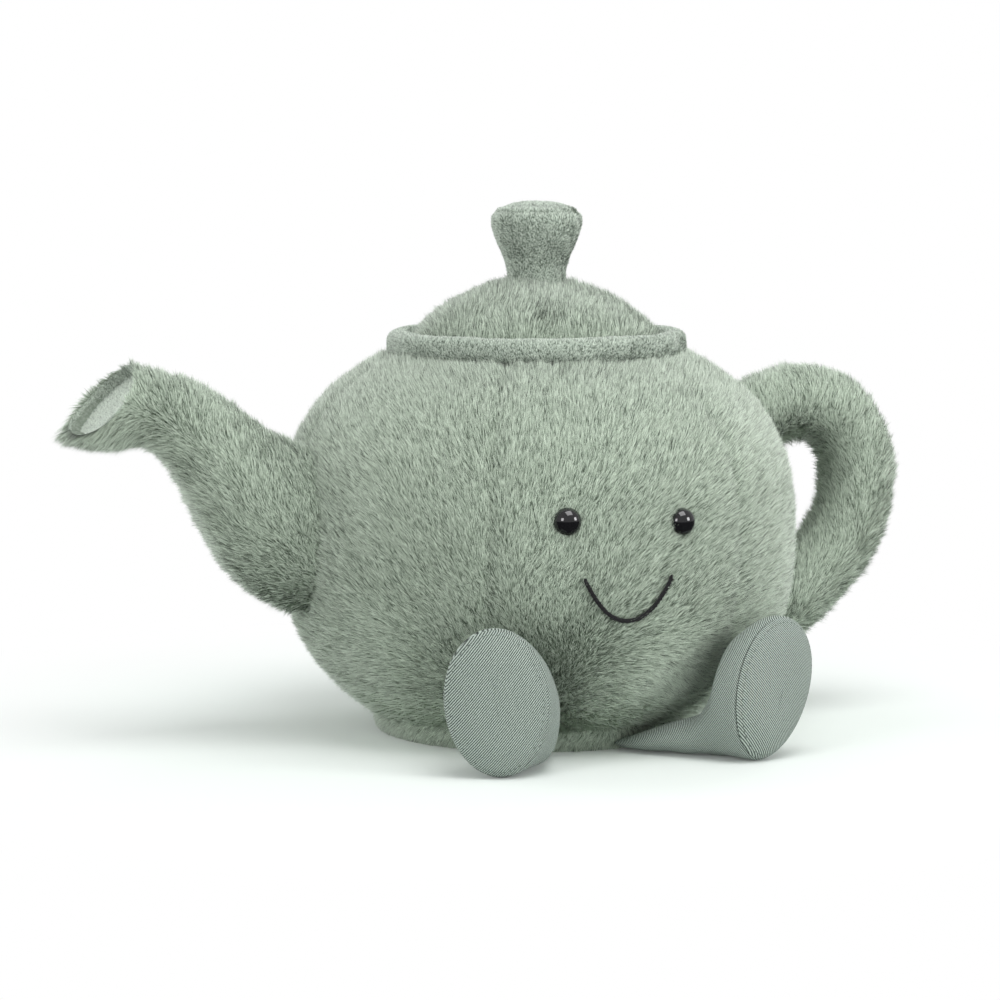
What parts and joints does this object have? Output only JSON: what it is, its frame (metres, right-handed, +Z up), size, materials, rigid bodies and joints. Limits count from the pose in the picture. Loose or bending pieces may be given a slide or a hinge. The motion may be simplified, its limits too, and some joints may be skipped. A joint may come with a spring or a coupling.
{
  "type": "plush teapot toy",
  "caption": "Stuffed plush toy in the form of a teapot, with a spout, a handle, a lid and knob, a stitched smile, bead eyes and woven legs that swing at the hip seams.",
  "frame": {"origin": "centre of the base cloth, where the toy stands on the floor", "axes": "+X towards the handle, -X towards the spout, -Y the way the face looks, +Z up through the knob"},
  "size_m": [0.3427, 0.2147, 0.2068],
  "materials": {
    "plush": "matte",
    "velour": "matte",
    "twill": "matte",
    "fibre_fill": "matte",
    "cotton": "matte",
    "thread": "matte",
    "eye": "gloss",
    "washer": "matte"
  },
  "bodies": {
    "toy": {"body_panel_front": "plush", "body_panel_front_handle": "plush", "body_panel_back_handle": "plush", "body_panel_back": "plush", "body_panel_back_spout": "plush", "body_panel_front_spout": "plush", "body_fill": "fibre_fill", "pellet_bag": "cotton", "base_band": "plush", "base_cloth": "twill", "collar": "velour", "lid_cover": "plush", "lid_fill": "fibre_fill", "knob_wall": "velour", "knob_disc": "velour", "knob_fill": "fibre_fill", "spout_panel_front": "plush", "spout_panel_back": "plush", "spout_mouth_lining": "velour", "spout_fill": "fibre_fill", "handle_panel_front": "plush", "handle_panel_back": "plush", "handle_fill": "fibre_fill", "smile": "thread", "eye_spout_side": "eye", "eye_washer_spout_side": "washer", "eye_handle_side": "eye", "eye_washer_handle_side": "washer"},
    "spout_side_leg": {"leg_sleeve_spout_side": "twill", "leg_fill_spout_side": "fibre_fill", "sole_spout_side": "twill"},
    "handle_side_leg": {"leg_sleeve_handle_side": "twill", "leg_fill_handle_side": "fibre_fill", "sole_handle_side": "twill"}
  },
  "joints": [
    {"name": "spout_side_hip", "type": "hinge", "parent": "toy", "child": "spout_side_leg", "pos_m": [-0.01525, -0.06503, 0.00295], "axis": [-0.9736, 0.2284, 0], "range_deg": [-75, 6]},
    {"name": "handle_side_hip", "type": "hinge", "parent": "toy", "child": "handle_side_leg", "pos_m": [0.01785, -0.06437, 0.00295], "axis": [-0.9636, -0.2672, 0], "range_deg": [-75, 6]}
  ]
}
